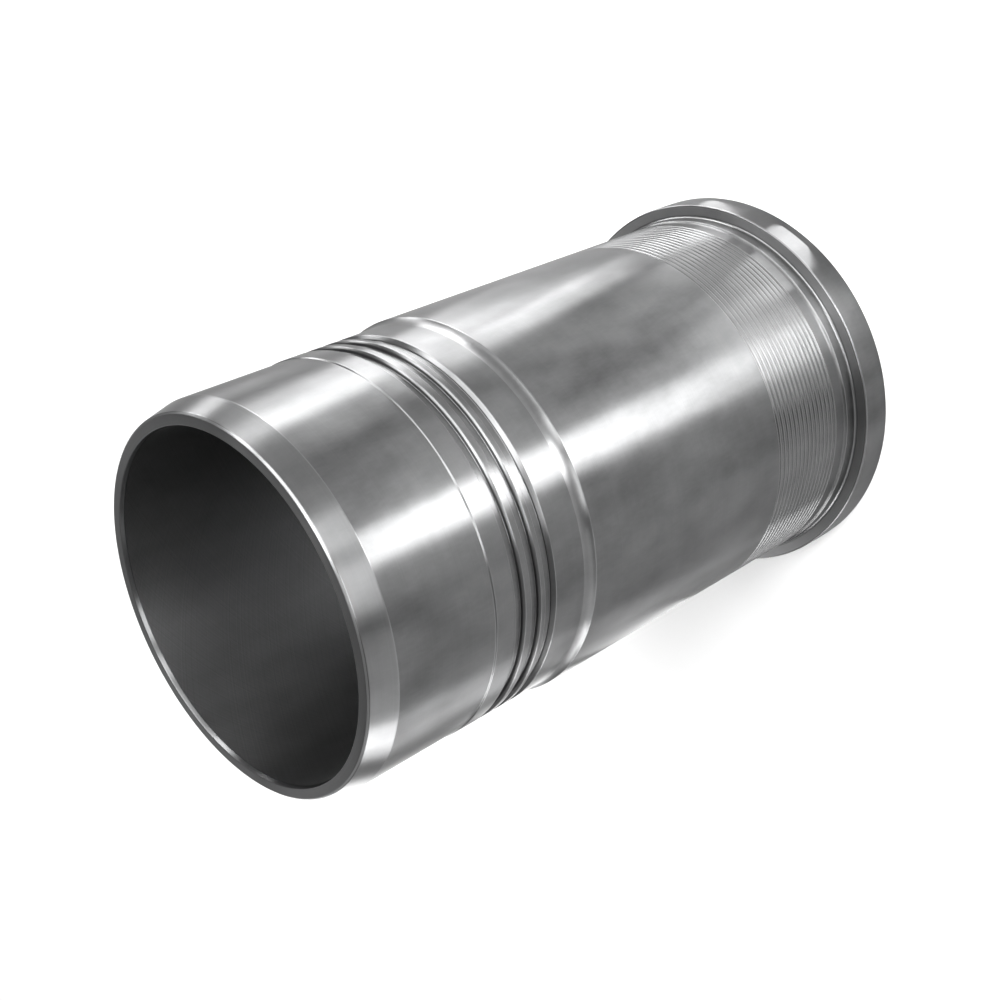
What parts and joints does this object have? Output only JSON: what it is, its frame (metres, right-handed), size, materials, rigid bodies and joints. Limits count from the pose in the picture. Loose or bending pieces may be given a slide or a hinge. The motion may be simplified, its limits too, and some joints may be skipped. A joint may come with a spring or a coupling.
{
  "type": "wet cylinder liner",
  "caption": "Flanged wet cylinder liner with a honed bore, a band of turned rings, a stepped body with seal grooves and a tapered lower end.",
  "frame": {"origin": "centre of the flange's end face, on the bore's axis", "axes": "+Z along the bore's axis, from the flange towards the tapered crankcase end; the liner stands on its flange"},
  "size_m": [0.1696, 0.1696, 0.2864],
  "materials": {
    "liner": "fine-turned and polished outside, honed bore"
  },
  "bodies": {
    "root": {"cylinder_liner": "liner"}
  },
  "joints": []
}
